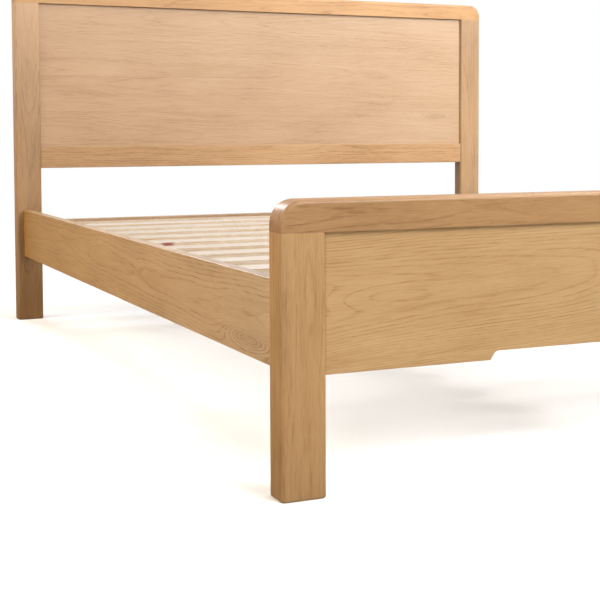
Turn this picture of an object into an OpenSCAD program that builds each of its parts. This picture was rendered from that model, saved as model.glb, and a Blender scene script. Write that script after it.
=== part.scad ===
// Wooden bed frame for a 1500 x 2000 mattress: a panelled footboard and headboard with
// round-shouldered cap rails, two bolted side rails, and pine slats over a centre beam.
// X runs across the bed, +Y points to the head, +Z up. The origin is on the floor, in the middle.

/* [Overall] */
// Width over the posts
bed_w = 1610; // [1500:5:1700]
// Length from the footboard's front to the headboard's back
bed_l = 2116; // [2100:2:2200]
// Height of the footboard
foot_h = 458; // [440:2:500]
// Height of the headboard
head_h = 1001; // [900:1:1100]

/* [Posts] */
// Width of every post, across the bed
post_w = 75; // [66:1:80]
// Thickness of the foot posts, along the bed
foot_post_t = 52; // [50:1:60]
// Thickness of the head posts, along the bed
head_post_t = 46; // [46:1:56]
// Rounding of the long edges of posts and cap rails
edge_r = 7; // [4:0.5:9]

/* [Cap rails] */
// Height of a cap rail
cap_h = 50; // [44:1:60]
// Radius of a cap rail's round shoulders
shoulder_r = 38; // [30:1:42]

/* [Footboard panel] */
// Thickness of the footboard panel
foot_panel_t = 22; // [18:1:24]
// How far the panel's face lies behind the posts' face
foot_panel_set = 8; // [5:1:12]
// Height of the panel's lower edge above the floor, beside the posts
foot_panel_low = 188.5; // [170:0.5:196]
// How much higher the lower edge is in the middle of the bed
step_rise = 14.5; // [12:0.5:20]
// Where the step starts, measured from the post's outer face
step_start = 371; // [250:1:500]
// Length of the step
step_run = 10; // [8:1:14]

/* [Headboard] */
// Height of the bottom rail's lower edge above the floor
head_rail_low = 456; // [440:2:470]
// Height of the bottom rail
head_rail_h = 65; // [55:1:75]
// Thickness of the bottom rail
head_rail_t = 30; // [26:1:32]
// How far the bottom rail lies behind the posts' face
head_rail_set = 3; // [2:1:6]
// Number of boards in the headboard
board_n = 4; // [3:1:5]
// Thickness of the headboard's boards
board_t = 18; // [16:1:20]
// How far the boards lie behind the posts' face
board_set = 10; // [8:1:12]
// Height of the cross rail's top edge above the floor
cross_top = 299; // [292:1:310]
// Height of the cross rail
cross_h = 100; // [90:5:110]
// Thickness of the cross rail
cross_t = 22; // [20:1:26]
// How far the cross rail lies behind the posts' face
cross_set = 4; // [2:1:8]

/* [Side rails] */
// How far a side rail lies inside the posts' outer face
rail_inset = 20.5; // [14:0.5:24]
// Thickness of a side rail
rail_t = 22; // [22:1:26]
// Height of a side rail's lower edge above the floor
rail_low = 192; // [186:1:198]
// Height of a side rail
rail_h = 139; // [136:1:146]
// Width of the ledger that carries the slats
ledger_w = 24; // [20:1:30]
// Height of the ledger
ledger_h = 34; // [30:1:40]

/* [Slats] */
// Number of slats
slat_n = 12; // [10:2:14]
// Width of a slat, along the bed
slat_w = 76; // [60:2:100]
// Thickness of a slat
slat_t = 18; // [16:1:20]
// Height of the slats' top face above the floor
slat_top = 290; // [288:1:291]
// From the foot post to the middle of the first slat
first_slat = 78; // [70:1:100]
// From the head post to the middle of the last slat
last_slat = 132; // [80:1:140]

/* [Cleat] */
// Width of the pine cleat between the cross rail and the last slat
cleat_w = 24; // [20:1:30]

/* [Centre support] */
// Width of the centre beam
beam_w = 44; // [40:1:60]
// Height of the centre beam
beam_h = 58; // [56:1:60]
// Side of the square centre leg
leg_w = 45; // [40:1:60]
// Thickness of the plastic glide under the leg
glide_t = 4; // [3:1:8]

/* [Fixings] */
// Diameter of the studs that draw the rails to the posts
stud_d = 8; // [6:1:8]
// Diameter of the beech dowels in the cap rails
dowel_d = 10; // [8:1:10]
// Diameter of the wood screws
screw_d = 4; // [3.5:0.5:4.5]

/* [Hidden] */
$fn = 64;
slat_names = [for (i = [1 : slat_n]) str("slat_", i < 10 ? "0" : "", i)];
board_names = [for (i = [1 : board_n]) str("head_board_", i)];

// Colours of the woods and the metal
oak = "#C79C67";
oak_pale = "#D8B181";
pine = "#F0DDBF";
beech = "#D9B98C";
zinc = "#B9BCC0";
black_plastic = "#2B2B2B";

// Planes and heights of the frame
half_w = bed_w / 2;
y_front = -bed_l / 2;
y_back = bed_l / 2;
y_foot_in = y_front + foot_post_t;
y_head_in = y_back - head_post_t;
foot_cap_low = foot_h - cap_h;
head_cap_low = head_h - cap_h;
head_rail_top = head_rail_low + head_rail_h;
inner_w = bed_w - 2 * post_w;
through = 1; // how far a cut runs past the face it opens
fit_gap = 0.1; // play of a fastener in its hole

// Joinery
groove_d = 10; // depth of the grooves that hold the panels' ends and tops
tongue = 6; // thickness and height of the tongues between boards
tenon_l = 25;
tenon_shoulder = 8; // height left above and below a tenon
head_tenon_t = 16;
cross_tenon_t = 12;
head_tenon_y = y_head_in + head_rail_set + (head_rail_t - head_tenon_t) / 2;
cross_tenon_y = y_head_in + cross_set + (cross_t - cross_tenon_t) / 2;
board_h = (head_cap_low - head_rail_top) / board_n;
board_mid = y_head_in + board_set + board_t / 2;
dowel_half = 30; // length of a cap rail's dowel in each piece
dowel_off = 18; // from the middle of the post to each dowel

// Side rails and what is in their ends
rail_out = half_w - rail_inset;
rail_in = rail_out - rail_t;
rail_l = y_head_in - y_foot_in;
stud_depth = 10; // from the rail's inner face to the stud
stud_x = rail_in + stud_depth;
stud_low = rail_low + 35;
stud_high = rail_low + rail_h - 35;
rail_dowel_z = (stud_low + stud_high) / 2;
rail_dowel_d = 8;
rail_dowel_half = 20;
insert_d = 12;
insert_l = 25;
stud_grip = 22; // length of stud inside the insert
pocket_r = 16;
pocket_y = 50; // from the rail's end to the pocket's middle
pocket_depth = 17;
washer_t = 8;
washer_w = 15;
nut_af = 13; // across the nut's flats
nut_t = 6.5;
stud_tail = 5; // length of stud beyond the nut
nut_y = pocket_y - pocket_r + washer_t; // from the rail's end to the nut

// Slats and ledgers
slat_low = slat_top - slat_t;
slat_clear = 3; // gap between a slat's end and the rail
slat_l = 2 * (rail_in - slat_clear);
slat_y0 = y_foot_in + first_slat;
slat_pitch = (rail_l - first_slat - last_slat) / (slat_n - 1);
ledger_end = 70; // from the rail's end to the ledger's end
ledger_l = rail_l - 2 * ledger_end;
ledger_low = slat_low - ledger_h;
ledger_x = rail_in - ledger_w / 2;
ledger_screw_z = slat_low - ledger_h / 2;
screw_l = 40;
head_d = 2 * screw_d; // a countersunk head's diameter
head_t = screw_d / 2;

// Centre support
panel_back = y_front + foot_panel_set + foot_panel_t;
cross_front = y_head_in + cross_set;
cleat_front = cross_front - cleat_w;
cleat_clear = 3; // gap between the cleat's ends and the posts
cleat_screw_x = [110, 400, 690];
beam_low = slat_low - beam_h;
beam_clear = 1;
plate_t = 2; // thickness of the steel of a bracket
bracket_d = 40;
bracket_h = 50;
flange_w = 20;
flange_screw_z = [12, 38];
cheek_screw_y = 28;
cheek_screw_z = 30;
short_screw_l = 16;
pan_head_d = 8;
pan_head_t = 2.5;
leg_stud_l = 100;
leg_stud_up = 44; // length of the stud inside the beam
glide_d = 36;
pin_d = 8;
pin_l = 12;

// ---------------------------------------------------------------- shared shapes

// A copy on each side of the bed
module both_sides() {
    children();
    mirror([1, 0, 0]) children();
}

// A bar standing on the XY plane with its four long edges rounded
module rounded_bar(w, t, h) {
    linear_extrude(h) union() {
        translate([edge_r, 0]) square([w - 2 * edge_r, t]);
        translate([0, edge_r]) square([w, t - 2 * edge_r]);
        for (x = [edge_r, w - edge_r], y = [edge_r, t - edge_r])
            translate([x, y]) circle(edge_r);
    }
}

// Section of a cap rail, from its inside (x = 0) to its rounded outer face (x = depth)
module cap_section(depth, t) {
    translate([0, -t / 2]) square([depth - edge_r, t]);
    translate([0, edge_r - t / 2]) square([depth, t - 2 * edge_r]);
    for (y = [edge_r - t / 2, t / 2 - edge_r])
        translate([depth - edge_r, y]) circle(edge_r);
}

// A cap rail with round shoulders, its underside at z = 0 and its middle plane at y = 0
module cap_blank(t) {
    straight = bed_w - 2 * shoulder_r;
    rotate([0, -90, 0]) linear_extrude(straight, center = true) mirror([0, 1]) cap_section(cap_h, t);
    both_sides() {
        translate([straight / 2, 0, cap_h - shoulder_r])
            rotate([90, 0, 0]) rotate_extrude(angle = 90) cap_section(shoulder_r, t);
        translate([straight / 2, 0, 0])
            linear_extrude(cap_h - shoulder_r) cap_section(shoulder_r, t);
    }
}

// A long screw along +Z, with the top of its countersunk head at z = 0
module countersunk_screw(length) {
    translate([0, 0, -length]) cylinder(d = screw_d, h = length - head_t);
    translate([0, 0, -head_t]) cylinder(d1 = screw_d, d2 = head_d, h = head_t);
}

// A short screw along +Z, with the underside of its pan head at z = 0
module pan_screw() {
    translate([0, 0, -short_screw_l]) cylinder(d = screw_d, h = short_screw_l);
    cylinder(d = pan_head_d, h = pan_head_t);
}

// The places of the two dowels in the top of a post, on one side
module at_cap_dowels(y, z) {
    for (x = [-dowel_off, dowel_off])
        translate([half_w - post_w / 2 + x, y, z]) children();
}

// Both ends of a right-hand side rail, with local +Y pointing into the rail
module at_rail_ends() {
    translate([stud_x, y_foot_in, 0]) children();
    translate([stud_x, y_head_in, 0]) mirror([0, 1, 0]) children();
}

// ---------------------------------------------------------------- posts

// Holes in a post for the rail's inserts and dowel, seen from the rail's end
module post_holes() {
    for (z = [stud_low, stud_high])
        translate([0, 0, z]) rotate([90, 0, 0]) cylinder(d = insert_d, h = insert_l);
    translate([0, 0, rail_dowel_z]) rotate([90, 0, 0])
        cylinder(d = rail_dowel_d + fit_gap, h = rail_dowel_half);
}

// Right-hand foot post, grooved for the panel
module foot_post() {
    difference() {
        translate([half_w - post_w, y_front, 0]) rounded_bar(post_w, foot_post_t, foot_cap_low);
        translate([half_w - post_w - through, y_front + foot_panel_set, foot_panel_low])
            cube([groove_d + through, foot_panel_t, foot_h]);
        translate([stud_x, y_foot_in, 0]) post_holes();
        at_cap_dowels(y_front + foot_post_t / 2, foot_cap_low - dowel_half)
            cylinder(d = dowel_d + fit_gap, h = dowel_half + through);
    }
}

module foot_post_left() {
    color(oak) mirror([1, 0, 0]) foot_post();
}

module foot_post_right() {
    color(oak) foot_post();
}

// Right-hand head post, grooved for the boards and mortised for the two rails
module head_post() {
    inner = half_w - post_w;
    difference() {
        translate([inner, y_head_in, 0]) rounded_bar(post_w, head_post_t, head_cap_low);
        translate([inner - through, y_head_in + board_set, head_rail_top])
            cube([groove_d + through, board_t, head_h]);
        translate([inner - through, head_tenon_y, head_rail_low + tenon_shoulder])
            cube([tenon_l + through, head_tenon_t, head_rail_h - 2 * tenon_shoulder]);
        translate([inner - through, cross_tenon_y, cross_top - cross_h + tenon_shoulder])
            cube([tenon_l + through, cross_tenon_t, cross_h - 2 * tenon_shoulder]);
        translate([stud_x, y_head_in, 0]) mirror([0, 1, 0]) post_holes();
        at_cap_dowels(y_head_in + head_post_t / 2, head_cap_low - dowel_half)
            cylinder(d = dowel_d + fit_gap, h = dowel_half + through);
    }
}

module head_post_left() {
    color(oak) mirror([1, 0, 0]) head_post();
}

module head_post_right() {
    color(oak) head_post();
}

// ---------------------------------------------------------------- footboard

module foot_cap_rail() {
    mid = y_front + foot_post_t / 2;
    color(oak) difference() {
        translate([0, mid, foot_cap_low]) cap_blank(foot_post_t);
        translate([-inner_w / 2, y_front + foot_panel_set, foot_cap_low - through])
            cube([inner_w, foot_panel_t, groove_d + through]);
        both_sides() at_cap_dowels(mid, foot_cap_low - through)
            cylinder(d = dowel_d + fit_gap, h = dowel_half + through);
    }
}

// Points of an arc about a centre, from one angle to another
function arc(cx, cz, r, a0, a1, n = 6) =
    [for (i = [0 : n]) let (a = a0 + (a1 - a0) * i / n) [cx + r * cos(a), cz + r * sin(a)]];

// Right-hand half of the panel's face, from the middle out, with the step in its lower edge
function panel_half() =
    let (
        slope = atan2(step_rise, step_run),
        low_r = 3, // rounding of the step's lower corner
        high_r = 11, // hollow at the top of the step
        x_low = half_w - step_start,
        x_high = x_low - step_run,
        z_low = foot_panel_low,
        z_high = foot_panel_low + step_rise,
        end = half_w - post_w + groove_d
    )
    concat(
        arc(x_high - high_r * tan(slope / 2), z_high - high_r, high_r, 90, 90 - slope),
        arc(x_low + low_r * tan(slope / 2), z_low + low_r, low_r, 270 - slope, 270),
        [[end, z_low], [end, foot_cap_low]]
    );

function mirrored(points) = [for (i = [len(points) - 1 : -1 : 0]) [-points[i][0], points[i][1]]];

module foot_panel() {
    upper = inner_w / 2;
    color(oak) difference() {
        translate([0, panel_back, 0]) rotate([90, 0, 0]) linear_extrude(foot_panel_t) union() {
            polygon(concat(panel_half(), mirrored(panel_half())));
            translate([-upper, foot_cap_low]) square([2 * upper, groove_d]);
        }
        bracket_holes(panel_back);
    }
}

module foot_dowels() {
    color(beech) both_sides()
        at_cap_dowels(y_front + foot_post_t / 2, foot_cap_low - dowel_half)
            cylinder(d = dowel_d, h = 2 * dowel_half);
}

// ---------------------------------------------------------------- headboard

module head_cap_rail() {
    mid = y_head_in + head_post_t / 2;
    color(oak) difference() {
        translate([0, mid, head_cap_low]) cap_blank(head_post_t);
        translate([-inner_w / 2, board_mid - tongue / 2, head_cap_low - through])
            cube([inner_w, tongue, tongue + through]);
        both_sides() at_cap_dowels(mid, head_cap_low - through)
            cylinder(d = dowel_d + fit_gap, h = dowel_half + through);
    }
}

module head_bottom_rail() {
    color(oak) union() {
        translate([-inner_w / 2, y_head_in + head_rail_set, head_rail_low])
            cube([inner_w, head_rail_t, head_rail_h]);
        translate([-inner_w / 2 - tenon_l, head_tenon_y, head_rail_low + tenon_shoulder])
            cube([inner_w + 2 * tenon_l, head_tenon_t, head_rail_h - 2 * tenon_shoulder]);
        translate([-inner_w / 2, board_mid - tongue / 2, head_rail_top])
            cube([inner_w, tongue, tongue]);
    }
}

// Tongued and grooved board, counted from the bottom rail up
module head_board(i) {
    low = head_rail_top + (i - 1) * board_h;
    long = inner_w + 2 * groove_d;
    color(oak_pale) difference() {
        union() {
            translate([-long / 2, y_head_in + board_set, low]) cube([long, board_t, board_h]);
            translate([-inner_w / 2, board_mid - tongue / 2, low + board_h])
                cube([inner_w, tongue, tongue]);
        }
        translate([-long / 2 - through, board_mid - tongue / 2, low - through])
            cube([long + 2 * through, tongue, tongue + through]);
    }
}

module head_cross_rail() {
    low = cross_top - cross_h;
    color(oak) difference() {
        union() {
            translate([-inner_w / 2, cross_front, low]) cube([inner_w, cross_t, cross_h]);
            translate([-inner_w / 2 - tenon_l, cross_tenon_y, low + tenon_shoulder])
                cube([inner_w + 2 * tenon_l, cross_tenon_t, cross_h - 2 * tenon_shoulder]);
        }
        mirror([0, 1, 0]) bracket_holes(-cross_front);
        at_cleat_screws() translate([0, 0, -screw_l])
            cylinder(d = screw_d, h = screw_l);
    }
}

// The places of the screws through the cleat into the cross rail
module at_cleat_screws() {
    both_sides() for (x = cleat_screw_x)
        translate([x, cleat_front, slat_top - slat_t / 2]) rotate([90, 0, 0]) children();
}

// The cleat lies level with the slats
module head_cleat() {
    long = inner_w - 2 * cleat_clear;
    color(pine) difference() {
        translate([-long / 2, cleat_front, slat_low]) cube([long, cleat_w, slat_t]);
        at_cleat_screws() {
            translate([0, 0, -cleat_w - through]) cylinder(d = screw_d, h = cleat_w + 2 * through);
            translate([0, 0, -head_t]) cylinder(d1 = screw_d, d2 = head_d, h = head_t);
        }
    }
}

module cleat_screws() {
    color(zinc) at_cleat_screws() countersunk_screw(screw_l);
}

module head_dowels() {
    color(beech) both_sides()
        at_cap_dowels(y_head_in + head_post_t / 2, head_cap_low - dowel_half)
            cylinder(d = dowel_d, h = 2 * dowel_half);
}

// ---------------------------------------------------------------- side rails

// Holes in one end of a side rail: two studs, their pockets and a dowel
module rail_end_holes() {
    for (z = [stud_low, stud_high]) {
        translate([0, -through, z]) rotate([-90, 0, 0])
            cylinder(d = stud_d + 2 * fit_gap, h = pocket_y + through);
        translate([-stud_depth - through, pocket_y, z]) rotate([0, 90, 0])
            cylinder(r = pocket_r, h = pocket_depth + through);
    }
    translate([0, -through, rail_dowel_z]) rotate([-90, 0, 0])
        cylinder(d = rail_dowel_d + fit_gap, h = rail_dowel_half + through);
}

// The places of a rail's ledger screws, between pairs of slats
module at_ledger_screws(x) {
    for (i = [0 : 2 : slat_n - 2])
        translate([x, slat_y0 + (i + 0.5) * slat_pitch, ledger_screw_z])
            rotate([0, -90, 0]) children();
}

// The places of the slat screws on one side
module at_slat_screws() {
    for (i = [0 : slat_n - 1])
        translate([ledger_x, slat_y0 + i * slat_pitch, slat_top]) children();
}

module side_rail() {
    difference() {
        translate([rail_in, y_foot_in, rail_low]) cube([rail_t, rail_l, rail_h]);
        at_rail_ends() rail_end_holes();
        at_ledger_screws(rail_in) translate([0, 0, ledger_w - screw_l])
            cylinder(d = screw_d, h = screw_l - ledger_w + through);
    }
}

module side_rail_left() {
    color(oak) mirror([1, 0, 0]) side_rail();
}

module side_rail_right() {
    color(oak) side_rail();
}

module ledger() {
    difference() {
        translate([rail_in - ledger_w, y_foot_in + ledger_end, ledger_low])
            cube([ledger_w, ledger_l, ledger_h]);
        at_ledger_screws(rail_in - ledger_w) {
            translate([0, 0, -ledger_w - through]) cylinder(d = screw_d, h = ledger_w + 2 * through);
            translate([0, 0, -head_t]) cylinder(d1 = screw_d, d2 = head_d, h = head_t);
        }
        at_slat_screws() translate([0, 0, -screw_l])
            cylinder(d = screw_d, h = screw_l);
    }
}

module ledger_left() {
    color(pine) mirror([1, 0, 0]) ledger();
}

module ledger_right() {
    color(pine) ledger();
}

module ledger_screws() {
    color(zinc) both_sides() at_ledger_screws(rail_in - ledger_w) countersunk_screw(screw_l);
}

// Threaded sleeves sunk in the posts
module post_inserts() {
    color(zinc) both_sides() at_rail_ends()
        for (z = [stud_low, stud_high])
            translate([0, 0, z]) rotate([90, 0, 0]) difference() {
                cylinder(d = insert_d, h = insert_l);
                translate([0, 0, -through]) cylinder(d = stud_d, h = insert_l + 2 * through);
            }
}

module rail_studs() {
    color(zinc) both_sides() at_rail_ends()
        for (z = [stud_low, stud_high])
            translate([0, -stud_grip, z]) rotate([-90, 0, 0])
                cylinder(d = stud_d, h = stud_grip + nut_y + nut_t + stud_tail);
}

// Half-moon washers, whose round backs bear on the pockets' walls
module half_moon_washers() {
    color(zinc) both_sides() at_rail_ends()
        for (z = [stud_low, stud_high]) translate([0, 0, z]) difference() {
            intersection() {
                translate([pocket_depth - stud_depth - washer_w, pocket_y, 0]) rotate([0, 90, 0])
                    cylinder(r = pocket_r, h = washer_w);
                translate([-stud_depth, 0, -pocket_r]) cube([pocket_depth, nut_y, 2 * pocket_r]);
            }
            rotate([-90, 0, 0]) cylinder(d = stud_d + 2 * fit_gap, h = pocket_y);
        }
}

module rail_nuts() {
    color(zinc) both_sides() at_rail_ends()
        for (z = [stud_low, stud_high])
            translate([0, nut_y, z]) rotate([-90, 0, 0]) difference() {
                rotate(30) cylinder(d = nut_af / cos(30), h = nut_t, $fn = 6);
                translate([0, 0, -through]) cylinder(d = stud_d, h = nut_t + 2 * through);
            }
}

module rail_dowels() {
    color(beech) both_sides() at_rail_ends()
        translate([0, -rail_dowel_half, rail_dowel_z]) rotate([-90, 0, 0])
            cylinder(d = rail_dowel_d, h = 2 * rail_dowel_half);
}

// ---------------------------------------------------------------- slats

// Slat counted from the foot, with a countersunk hole at each end
module slat(i) {
    y = slat_y0 + (i - 1) * slat_pitch;
    color(pine) difference() {
        translate([-slat_l / 2, y - slat_w / 2, slat_low]) cube([slat_l, slat_w, slat_t]);
        both_sides() translate([ledger_x, y, slat_top]) {
            translate([0, 0, -slat_t - through]) cylinder(d = screw_d, h = slat_t + 2 * through);
            translate([0, 0, -head_t]) cylinder(d1 = screw_d, d2 = head_d, h = head_t);
        }
    }
}

module slat_screws() {
    color(zinc) both_sides() at_slat_screws() countersunk_screw(screw_l);
}

// ---------------------------------------------------------------- centre support

// The places of a bracket's four flange screws on a face at y, pointing to +Y
module at_flange_screws(y) {
    for (side = [-1, 1], z = flange_screw_z)
        translate([side * (beam_w / 2 + flange_w / 2), y, beam_low + z]) rotate([-90, 0, 0]) children();
}

// The places of a bracket's two cheek screws, pointing away from the beam
module at_cheek_screws(y) {
    both_sides() translate([beam_w / 2, y + cheek_screw_y, beam_low + cheek_screw_z])
        rotate([0, 90, 0]) children();
}

// Pilot holes for a bracket's screws in the piece that carries it
module bracket_holes(y) {
    at_flange_screws(y) translate([0, 0, plate_t - short_screw_l])
        cylinder(d = screw_d, h = short_screw_l);
}

module beam_end_holes(y) {
    at_cheek_screws(y) translate([0, 0, plate_t - short_screw_l])
        cylinder(d = screw_d, h = short_screw_l);
}

module centre_beam() {
    color(pine) difference() {
        translate([-beam_w / 2, panel_back + beam_clear, beam_low])
            cube([beam_w, cross_front - panel_back - 2 * beam_clear, beam_h]);
        beam_end_holes(panel_back);
        mirror([0, 1, 0]) beam_end_holes(-cross_front);
        translate([0, 0, beam_low - through])
            cylinder(d = stud_d, h = leg_stud_up + through);
    }
}

// Steel stirrup under one end of the centre beam, on a face at y
module bracket(y) {
    cheek_x = beam_w / 2;
    difference() {
        union() {
            translate([-cheek_x - plate_t, y, beam_low - plate_t])
                cube([beam_w + 2 * plate_t, bracket_d, plate_t]);
            both_sides() {
                translate([cheek_x, y, beam_low - plate_t])
                    cube([plate_t, bracket_d, bracket_h + plate_t]);
                translate([cheek_x, y, beam_low - plate_t])
                    cube([flange_w, plate_t, bracket_h + plate_t]);
            }
        }
        at_flange_screws(y) translate([0, 0, -through]) cylinder(d = screw_d, h = plate_t + 2 * through);
        at_cheek_screws(y) translate([0, 0, -through]) cylinder(d = screw_d, h = plate_t + 2 * through);
    }
}

module beam_bracket_foot() {
    color(zinc) bracket(panel_back);
}

module beam_bracket_head() {
    color(zinc) mirror([0, 1, 0]) bracket(-cross_front);
}

module bracket_screw_set(y) {
    at_flange_screws(y + plate_t) pan_screw();
    at_cheek_screws(y) translate([0, 0, plate_t]) pan_screw();
}

module bracket_screws() {
    color(zinc) {
        bracket_screw_set(panel_back);
        mirror([0, 1, 0]) bracket_screw_set(-cross_front);
    }
}

module centre_leg() {
    color(pine) difference() {
        translate([-leg_w / 2, -leg_w / 2, glide_t]) cube([leg_w, leg_w, beam_low - glide_t]);
        translate([0, 0, beam_low + leg_stud_up - leg_stud_l])
            cylinder(d = stud_d, h = leg_stud_l);
        translate([0, 0, glide_t - through]) cylinder(d = pin_d, h = pin_l + through);
    }
}

module leg_stud() {
    color(zinc) translate([0, 0, beam_low + leg_stud_up - leg_stud_l])
        cylinder(d = stud_d, h = leg_stud_l);
}

module leg_glide() {
    color(black_plastic) {
        cylinder(d = glide_d, h = glide_t);
        cylinder(d = pin_d, h = glide_t + pin_l);
    }
}

// ---------------------------------------------------------------- the pieces

foot_post_left();
foot_post_right();
foot_cap_rail();
foot_panel();
foot_dowels();
head_post_left();
head_post_right();
head_cap_rail();
head_bottom_rail();
head_cross_rail();
head_cleat();
cleat_screws();
head_dowels();
for (i = [1 : board_n]) head_board(i);
side_rail_left();
side_rail_right();
ledger_left();
ledger_right();
ledger_screws();
post_inserts();
rail_studs();
half_moon_washers();
rail_nuts();
rail_dowels();
for (i = [1 : slat_n]) slat(i);
slat_screws();
centre_beam();
beam_bracket_foot();
beam_bracket_head();
bracket_screws();
centre_leg();
leg_stud();
leg_glide();
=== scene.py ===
"""Looks of a king-size oak bed frame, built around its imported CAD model.

Metres, X across the bed, +Y to the head, +Z up. The timber is cut from its CAD solids, with eased
arrises, and coloured by solid grain that runs through each piece. Nothing on the bed moves.
"""

import math

import bmesh
import bpy
from mathutils import Matrix, Vector


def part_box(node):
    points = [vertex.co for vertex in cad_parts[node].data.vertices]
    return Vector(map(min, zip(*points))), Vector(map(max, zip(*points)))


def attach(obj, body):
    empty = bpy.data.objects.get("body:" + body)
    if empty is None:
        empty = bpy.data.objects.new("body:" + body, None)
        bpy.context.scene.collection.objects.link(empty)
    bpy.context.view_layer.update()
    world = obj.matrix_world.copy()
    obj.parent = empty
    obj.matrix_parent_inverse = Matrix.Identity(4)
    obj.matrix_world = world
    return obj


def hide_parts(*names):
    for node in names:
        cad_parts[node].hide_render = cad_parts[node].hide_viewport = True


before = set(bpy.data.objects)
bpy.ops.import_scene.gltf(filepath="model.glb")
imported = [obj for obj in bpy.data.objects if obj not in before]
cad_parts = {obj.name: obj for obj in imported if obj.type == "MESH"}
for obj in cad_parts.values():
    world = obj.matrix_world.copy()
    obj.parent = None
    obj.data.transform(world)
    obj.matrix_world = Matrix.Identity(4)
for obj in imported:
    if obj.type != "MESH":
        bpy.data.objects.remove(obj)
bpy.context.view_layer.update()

MM = 0.001
BODY = "root"

# ---------------------------------------------------------------- camera, floor and light

CAMERA_PLACE = (-1.514, -2.7775, 0.5568)
CAMERA_HEADING = math.radians(24.213)  # from +Y towards +X
CAMERA_PITCH = math.radians(-2.802)
CAMERA_ROLL = math.radians(-0.199)
CAMERA_LENS = 75.17
CAMERA_SENSOR = 36
CAMERA_SHIFT = (-0.0333, -0.175)


def make_camera():
    heading, pitch = CAMERA_HEADING, CAMERA_PITCH
    forward = Vector(
        (
            math.sin(heading) * math.cos(pitch),
            math.cos(heading) * math.cos(pitch),
            math.sin(pitch),
        )
    )
    level = Vector((math.cos(heading), -math.sin(heading), 0))
    turn = Matrix.Rotation(-CAMERA_ROLL, 3, forward)
    right = turn @ level
    up = turn @ level.cross(forward)
    axes = Matrix((right, up, -forward)).transposed()
    data = bpy.data.cameras.new("camera")
    data.lens = CAMERA_LENS
    data.sensor_width = CAMERA_SENSOR
    data.shift_x, data.shift_y = CAMERA_SHIFT
    camera = bpy.data.objects.new("camera", data)
    camera.matrix_world = Matrix.Translation(CAMERA_PLACE) @ axes.to_4x4()
    bpy.context.scene.collection.objects.link(camera)
    bpy.context.scene.camera = camera


# ---------------------------------------------------------------- node trees


class Shader:
    """Short-hand for building the node tree of a material, or of the world."""

    def __init__(self, name, owner=None):
        self.material = owner or bpy.data.materials.new(name)
        self.material.use_nodes = True
        self.tree = self.material.node_tree
        self.tree.nodes.clear()

    def add(self, kind, inputs=None, **settings):
        made = self.tree.nodes.new(kind)
        for key, value in settings.items():
            setattr(made, key, value)
        for key, value in (inputs or {}).items():
            if isinstance(value, bpy.types.NodeSocket):
                self.tree.links.new(value, made.inputs[key])
            else:
                made.inputs[key].default_value = value
        return made

    def math(self, operation, *values, clamp=False):
        inputs = dict(enumerate(values))
        return self.add("ShaderNodeMath", inputs, operation=operation, use_clamp=clamp).outputs[0]

    def total(self, first, *rest):
        for value in rest:
            first = self.math("ADD", first, value)
        return first

    def vector(self, operation, *values):
        inputs = dict(enumerate(values))
        return self.add("ShaderNodeVectorMath", inputs, operation=operation).outputs[0]

    def scaled(self, vector, scale):
        inputs = {"Vector": vector, "Scale": scale}
        return self.add("ShaderNodeVectorMath", inputs, operation="SCALE").outputs["Vector"]

    def split(self, vector):
        return self.add("ShaderNodeSeparateXYZ", {"Vector": vector}).outputs

    def join(self, x, y, z):
        return self.add("ShaderNodeCombineXYZ", {"X": x, "Y": y, "Z": z}).outputs[0]

    def noise(self, vector, detail=2.0, roughness=0.5, output="Fac"):
        inputs = {"Vector": vector, "Scale": 1.0, "Detail": detail, "Roughness": roughness}
        return self.add("ShaderNodeTexNoise", inputs).outputs[output]

    def noise_along(self, value, detail=2.0, roughness=0.5):
        inputs = {"W": value, "Scale": 1.0, "Detail": detail, "Roughness": roughness}
        return self.add("ShaderNodeTexNoise", inputs, noise_dimensions="1D").outputs["Fac"]

    def remap(self, value, low, high, to_low=0.0, to_high=1.0, smooth=False):
        """value from low..high to to_low..to_high, held at its ends."""
        kind = "SMOOTHSTEP" if smooth else "LINEAR"
        inputs = {"Value": value, "From Min": low, "From Max": high, "To Min": to_low, "To Max": to_high}
        return self.add("ShaderNodeMapRange", inputs, interpolation_type=kind).outputs[0]

    def ramp(self, value, stops):
        made = self.add("ShaderNodeValToRGB", {"Fac": value})
        elements = made.color_ramp.elements
        while len(elements) < len(stops):
            elements.new(0.5)
        for element, (place, colour) in zip(elements, stops):
            element.position = place
            element.color = (*colour, 1)
        return made.outputs["Color"]

    def mix(self, factor, first, second, blend="MIX"):
        made = self.add("ShaderNodeMix", data_type="RGBA", blend_type=blend)
        for index, value in ((0, factor), (6, first), (7, second)):
            if isinstance(value, bpy.types.NodeSocket):
                self.tree.links.new(value, made.inputs[index])
            else:
                made.inputs[index].default_value = value
        return made.outputs[2]

    def own(self, name, output="Fac"):
        """A value that the object carries as a property of its own."""
        made = self.add("ShaderNodeAttribute", attribute_type="OBJECT", attribute_name=name)
        return made.outputs[output]

    def wear_and_highlight(self):
        """1 along the arrises, where wear and a painted highlight go, 0 on the faces."""
        return self.add("ShaderNodeAttribute", attribute_name="wear_and_highlight").outputs["Fac"]

    def finish(self, colour, roughness, height, depth, strength, **constants):
        """The surface itself: linked colour, roughness and height, and sockets that hold a constant."""
        bump = self.add("ShaderNodeBump", {"Height": height, "Distance": depth, "Strength": strength})
        inputs = {"Base Color": colour, "Roughness": roughness, "Normal": bump.outputs["Normal"]}
        surface = self.add("ShaderNodeBsdfPrincipled", inputs)
        for name, value in constants.items():
            surface.inputs[name.replace("_", " ")].default_value = value
        output = self.add("ShaderNodeOutputMaterial")
        self.tree.links.new(surface.outputs["BSDF"], output.inputs["Surface"])
        return self.material


# ---------------------------------------------------------------- studio

SURROUND_LIGHT = 0.25  # its strength as a light; it shows at full strength
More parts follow.
